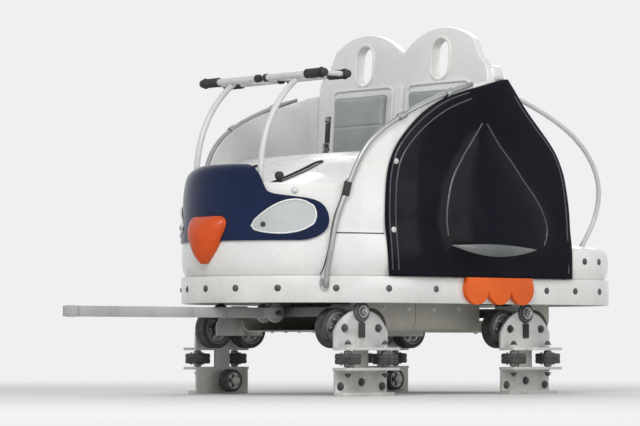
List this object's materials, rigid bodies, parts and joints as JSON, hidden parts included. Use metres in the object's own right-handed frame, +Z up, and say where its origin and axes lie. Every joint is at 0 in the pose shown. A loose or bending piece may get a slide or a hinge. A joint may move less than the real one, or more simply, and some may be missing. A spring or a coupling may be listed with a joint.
{
  "type": "roller coaster car",
  "caption": "Small family coaster car with side-by-side seats under a bird-faced hood, lap bars, and rail wheel carriers on steering axles.",
  "frame": {"origin": "middle of the object's box, on the level of the carriers' foot plates", "axes": "+X towards the nose, +Y to the car's left, +Z up"},
  "size_m": [2.7589, 1.2458, 1.6179],
  "materials": {
    "white_shell": "gloss gel coat",
    "black_shell": "gloss gel coat",
    "orange_shell": "gloss gel coat",
    "eye_shell": "gloss gel coat",
    "pupil_black": "gloss",
    "frame_paint": "satin paint",
    "carrier_paint": "galvanised and painted",
    "pan_paint": "satin paint",
    "tube_paint": "satin paint",
    "bare_steel": "turned",
    "floor_panel": "satin",
    "grey_pad": "vinyl skin on foam",
    "black_webbing": "woven webbing",
    "wheel_tyre": "polyurethane tread on a hub"
  },
  "bodies": {
    "car": {"chassis_frame": "frame_paint", "under_pan": "pan_paint", "skirt_band": "white_shell", "nose_shell": "white_shell", "hood": "black_shell", "eyes": "eye_shell", "pupils": "pupil_black", "beak": "orange_shell", "floor_pan": "floor_panel", "dash_panel": "white_shell", "bar_shaft": "bare_steel", "side_panels": "white_shell", "seat_shell": "white_shell", "back_pads": "grey_pad", "seat_cushions": "grey_pad", "seat_straps": "black_webbing", "flippers": "black_shell", "webbed_feet": "orange_shell", "tail_cover": "white_shell", "rear_deck": "white_shell", "grab_rails": "tube_paint", "rear_hoops": "tube_paint", "rear_coupler": "frame_paint"},
    "drawbar": {"drawbar": "frame_paint"},
    "lap_bar_left": {"lap_bar_left": "tube_paint"},
    "lap_bar_right": {"lap_bar_right": "tube_paint"},
    "front_axle": {"front_axle": "frame_paint"},
    "rear_axle": {"rear_axle": "frame_paint"},
    "front_left_carrier": {"front_left_carrier": "carrier_paint"},
    "front_left_road_wheel_fore": {"front_left_road_wheel_fore": "wheel_tyre"},
    "front_left_road_wheel_aft": {"front_left_road_wheel_aft": "wheel_tyre"},
    "front_left_side_wheel_fore": {"front_left_side_wheel_fore": "wheel_tyre"},
    "front_left_side_wheel_aft": {"front_left_side_wheel_aft": "wheel_tyre"},
    "front_left_upstop_wheel": {"front_left_upstop_wheel": "wheel_tyre"},
    "front_right_carrier": {"front_right_carrier": "carrier_paint"},
    "front_right_road_wheel_fore": {"front_right_road_wheel_fore": "wheel_tyre"},
    "front_right_road_wheel_aft": {"front_right_road_wheel_aft": "wheel_tyre"},
    "front_right_side_wheel_fore": {"front_right_side_wheel_fore": "wheel_tyre"},
    "front_right_side_wheel_aft": {"front_right_side_wheel_aft": "wheel_tyre"},
    "front_right_upstop_wheel": {"front_right_upstop_wheel": "wheel_tyre"},
    "rear_left_carrier": {"rear_left_carrier": "carrier_paint"},
    "rear_left_road_wheel_fore": {"rear_left_road_wheel_fore": "wheel_tyre"},
    "rear_left_road_wheel_aft": {"rear_left_road_wheel_aft": "wheel_tyre"},
    "rear_left_side_wheel_fore": {"rear_left_side_wheel_fore": "wheel_tyre"},
    "rear_left_side_wheel_aft": {"rear_left_side_wheel_aft": "wheel_tyre"},
    "rear_left_upstop_wheel": {"rear_left_upstop_wheel": "wheel_tyre"},
    "rear_right_carrier": {"rear_right_carrier": "carrier_paint"},
    "rear_right_road_wheel_fore": {"rear_right_road_wheel_fore": "wheel_tyre"},
    "rear_right_road_wheel_aft": {"rear_right_road_wheel_aft": "wheel_tyre"},
    "rear_right_side_wheel_fore": {"rear_right_side_wheel_fore": "wheel_tyre"},
    "rear_right_side_wheel_aft": {"rear_right_side_wheel_aft": "wheel_tyre"},
    "rear_right_upstop_wheel": {"rear_right_upstop_wheel": "wheel_tyre"}
  },
  "joints": [
    {"name": "drawbar_swing", "type": "hinge", "parent": "car", "child": "drawbar", "pos_m": [0.2855, 0, 0.352], "axis": [0, 0, 1], "range_deg": [-20, 20]},
    {"name": "lap_bar_left_fold", "type": "hinge", "parent": "car", "child": "lap_bar_left", "pos_m": [0.4405, 0.215, 0.6], "axis": [0, -1, 0], "range_deg": [0, 38]},
    {"name": "lap_bar_right_fold", "type": "hinge", "parent": "car", "child": "lap_bar_right", "pos_m": [0.4405, -0.215, 0.6], "axis": [0, -1, 0], "range_deg": [0, 38]},
    {"name": "front_axle_steer", "type": "hinge", "parent": "car", "child": "front_axle", "pos_m": [0.1755, 0, 0.4], "axis": [0, 0, 1], "range_deg": [-8, 8]},
    {"name": "rear_axle_steer", "type": "hinge", "parent": "car", "child": "rear_axle", "pos_m": [-0.7945, 0, 0.4], "axis": [0, 0, 1], "range_deg": [-8, 8]},
    {"name": "front_left_carrier_rock", "type": "hinge", "parent": "front_axle", "child": "front_left_carrier", "pos_m": [0.1755, 0.4, 0.355], "axis": [0, 1, 0], "range_deg": [-6, 6]},
    {"name": "front_left_road_wheel_fore_spin", "type": "hinge", "parent": "front_left_carrier", "child": "front_left_road_wheel_fore", "pos_m": [0.2705, 0.4, 0.285], "axis": [0, 1, 0], "continuous": true},
    {"name": "front_left_road_wheel_aft_spin", "type": "hinge", "parent": "front_left_carrier", "child": "front_left_road_wheel_aft", "pos_m": [0.0805, 0.4, 0.285], "axis": [0, 1, 0], "continuous": true},
    {"name": "front_left_side_wheel_fore_spin", "type": "hinge", "parent": "front_left_carrier", "child": "front_left_side_wheel_fore", "pos_m": [0.2805, 0.5005, 0.155], "axis": [0, 0, 1], "continuous": true},
    {"name": "front_left_side_wheel_aft_spin", "type": "hinge", "parent": "front_left_carrier", "child": "front_left_side_wheel_aft", "pos_m": [0.0705, 0.5005, 0.155], "axis": [0, 0, 1], "continuous": true},
    {"name": "front_left_upstop_wheel_spin", "type": "hinge", "parent": "front_left_carrier", "child": "front_left_upstop_wheel", "pos_m": [0.1755, 0.4, 0.058], "axis": [0, 1, 0], "continuous": true},
    {"name": "front_right_carrier_rock", "type": "hinge", "parent": "front_axle", "child": "front_right_carrier", "pos_m": [0.1755, -0.4, 0.355], "axis": [0, 1, 0], "range_deg": [-6, 6]},
    {"name": "front_right_road_wheel_fore_spin", "type": "hinge", "parent": "front_right_carrier", "child": "front_right_road_wheel_fore", "pos_m": [0.2705, -0.4, 0.285], "axis": [0, 1, 0], "continuous": true},
    {"name": "front_right_road_wheel_aft_spin", "type": "hinge", "parent": "front_right_carrier", "child": "front_right_road_wheel_aft", "pos_m": [0.0805, -0.4, 0.285], "axis": [0, 1, 0], "continuous": true},
    {"name": "front_right_side_wheel_fore_spin", "type": "hinge", "parent": "front_right_carrier", "child": "front_right_side_wheel_fore", "pos_m": [0.2805, -0.5005, 0.155], "axis": [0, 0, 1], "continuous": true},
    {"name": "front_right_side_wheel_aft_spin", "type": "hinge", "parent": "front_right_carrier", "child": "front_right_side_wheel_aft", "pos_m": [0.0705, -0.5005, 0.155], "axis": [0, 0, 1], "continuous": true},
    {"name": "front_right_upstop_wheel_spin", "type": "hinge", "parent": "front_right_carrier", "child": "front_right_upstop_wheel", "pos_m": [0.1755, -0.4, 0.058], "axis": [0, 1, 0], "continuous": true},
    {"name": "rear_left_carrier_rock", "type": "hinge", "parent": "rear_axle", "child": "rear_left_carrier", "pos_m": [-0.7945, 0.4, 0.355], "axis": [0, 1, 0], "range_deg": [-6, 6]},
    {"name": "rear_left_road_wheel_fore_spin", "type": "hinge", "parent": "rear_left_carrier", "child": "rear_left_road_wheel_fore", "pos_m": [-0.6995, 0.4, 0.285], "axis": [0, 1, 0], "continuous": true},
    {"name": "rear_left_road_wheel_aft_spin", "type": "hinge", "parent": "rear_left_carrier", "child": "rear_left_road_wheel_aft", "pos_m": [-0.8895, 0.4, 0.285], "axis": [0, 1, 0], "continuous": true},
    {"name": "rear_left_side_wheel_fore_spin", "type": "hinge", "parent": "rear_left_carrier", "child": "rear_left_side_wheel_fore", "pos_m": [-0.6895, 0.5005, 0.155], "axis": [0, 0, 1], "continuous": true},
    {"name": "rear_left_side_wheel_aft_spin", "type": "hinge", "parent": "rear_left_carrier", "child": "rear_left_side_wheel_aft", "pos_m": [-0.8995, 0.5005, 0.155], "axis": [0, 0, 1], "continuous": true},
    {"name": "rear_left_upstop_wheel_spin", "type": "hinge", "parent": "rear_left_carrier", "child": "rear_left_upstop_wheel", "pos_m": [-0.7945, 0.4, 0.058], "axis": [0, 1, 0], "continuous": true},
    {"name": "rear_right_carrier_rock", "type": "hinge", "parent": "rear_axle", "child": "rear_right_carrier", "pos_m": [-0.7945, -0.4, 0.355], "axis": [0, 1, 0], "range_deg": [-6, 6]},
    {"name": "rear_right_road_wheel_fore_spin", "type": "hinge", "parent": "rear_right_carrier", "child": "rear_right_road_wheel_fore", "pos_m": [-0.6995, -0.4, 0.285], "axis": [0, 1, 0], "continuous": true},
    {"name": "rear_right_road_wheel_aft_spin", "type": "hinge", "parent": "rear_right_carrier", "child": "rear_right_road_wheel_aft", "pos_m": [-0.8895, -0.4, 0.285], "axis": [0, 1, 0], "continuous": true},
    {"name": "rear_right_side_wheel_fore_spin", "type": "hinge", "parent": "rear_right_carrier", "child": "rear_right_side_wheel_fore", "pos_m": [-0.6895, -0.5005, 0.155], "axis": [0, 0, 1], "continuous": true},
    {"name": "rear_right_side_wheel_aft_spin", "type": "hinge", "parent": "rear_right_carrier", "child": "rear_right_side_wheel_aft", "pos_m": [-0.8995, -0.5005, 0.155], "axis": [0, 0, 1], "continuous": true},
    {"name": "rear_right_upstop_wheel_spin", "type": "hinge", "parent": "rear_right_carrier", "child": "rear_right_upstop_wheel", "pos_m": [-0.7945, -0.4, 0.058], "axis": [0, 1, 0], "continuous": true}
  ]
}
